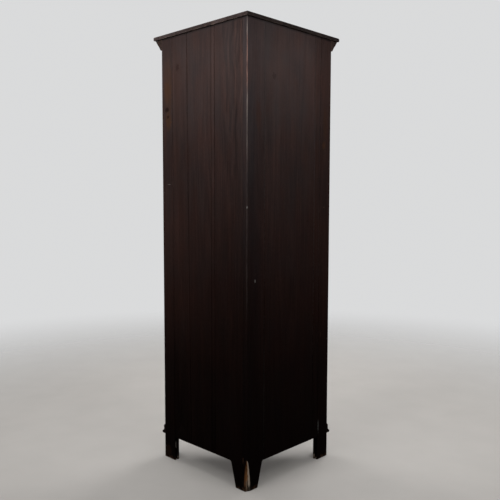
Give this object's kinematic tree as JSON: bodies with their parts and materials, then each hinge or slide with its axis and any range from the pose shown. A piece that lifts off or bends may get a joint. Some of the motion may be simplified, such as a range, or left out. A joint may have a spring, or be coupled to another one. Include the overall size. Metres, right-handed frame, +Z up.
{
  "type": "corner cabinet",
  "caption": "Corner cabinet in dark stained wood: plank back walls, canted corners, cornice and base moulding, glazed upper door, panelled lower door, shelves and turn-knob latches.",
  "frame": {"origin": "on the floor, in the middle of the box round the whole cabinet", "axes": "+Z up, the front and its doors face -Y, the right-angled back corner is at +Y, +X is to the right of someone who stands before it"},
  "size_m": [0.6986, 0.4078, 1.6],
  "materials": {
    "stained_wood": "dark brown stained softwood, satin wax, worn arrises",
    "inner_wood": "brown stained boards, matt",
    "glass": "clear float glass",
    "brass": "aged brass",
    "iron": "dark iron nails"
  },
  "bodies": {
    "carcass": {"plank_right_1": "stained_wood", "plank_right_2": "stained_wood", "plank_right_3": "stained_wood", "plank_left_1": "stained_wood", "plank_left_2": "stained_wood", "plank_left_3": "stained_wood", "wall_stile_right": "stained_wood", "wall_stile_left": "stained_wood", "cant_board_right": "stained_wood", "cant_board_left": "stained_wood", "front_stile_right": "stained_wood", "front_stile_left": "stained_wood", "top_rail": "stained_wood", "middle_rail": "stained_wood", "bottom_rail": "stained_wood", "top_board": "stained_wood", "cornice_front": "stained_wood", "cornice_right": "stained_wood", "cornice_left": "stained_wood", "base_moulding_front": "stained_wood", "base_moulding_right": "stained_wood", "base_moulding_left": "stained_wood", "bottom_board": "inner_wood", "middle_board": "inner_wood", "lower_shelf": "inner_wood", "upper_shelf_low": "inner_wood", "upper_shelf_high": "inner_wood", "shelf_cleats_right": "inner_wood", "shelf_cleats_left": "inner_wood", "glue_blocks": "inner_wood", "back_nails": "iron", "hinge_frame_leaves": "brass", "hinge_pins": "brass", "hinge_frame_screws": "brass"},
    "upper_door": {"upper_door_hinge_stile": "stained_wood", "upper_door_lock_stile": "stained_wood", "upper_door_top_rail": "stained_wood", "upper_door_bottom_rail": "stained_wood", "glazing_bar_upright": "stained_wood", "glazing_bars_cross": "stained_wood", "glass_panes": "glass", "glazing_beads": "stained_wood", "upper_hinge_door_leaves": "brass", "upper_hinge_door_screws": "brass", "upper_knob_rose": "brass"},
    "upper_latch": {"upper_knob": "brass", "upper_latch_tongue": "brass", "upper_latch_nut": "brass"},
    "lower_door": {"lower_door_hinge_stile": "stained_wood", "lower_door_lock_stile": "stained_wood", "lower_door_top_rail": "stained_wood", "lower_door_bottom_rail": "stained_wood", "lower_door_panel": "stained_wood", "lower_panel_moulding": "stained_wood", "lower_hinge_door_leaves": "brass", "lower_hinge_door_screws": "brass", "lower_knob_rose": "brass"},
    "lower_latch": {"lower_knob": "brass", "lower_latch_tongue": "brass", "lower_latch_nut": "brass"}
  },
  "joints": [
    {"name": "upper_door_swing", "type": "hinge", "parent": "carcass", "child": "upper_door", "pos_m": [-0.22624, -0.16267, 1.1225], "axis": [0, 0, -1], "range_deg": [0, 120]},
    {"name": "upper_latch_turn", "type": "hinge", "parent": "upper_door", "child": "upper_latch", "pos_m": [0.20124, -0.15887, 1.077], "axis": [0, -1, 0], "range_deg": [0, 90]},
    {"name": "lower_door_swing", "type": "hinge", "parent": "carcass", "child": "lower_door", "pos_m": [-0.22624, -0.16267, 0.425], "axis": [0, 0, -1], "range_deg": [0, 120]},
    {"name": "lower_latch_turn", "type": "hinge", "parent": "lower_door", "child": "lower_latch", "pos_m": [0.20124, -0.15887, 0.578], "axis": [0, -1, 0], "range_deg": [0, 90]}
  ]
}
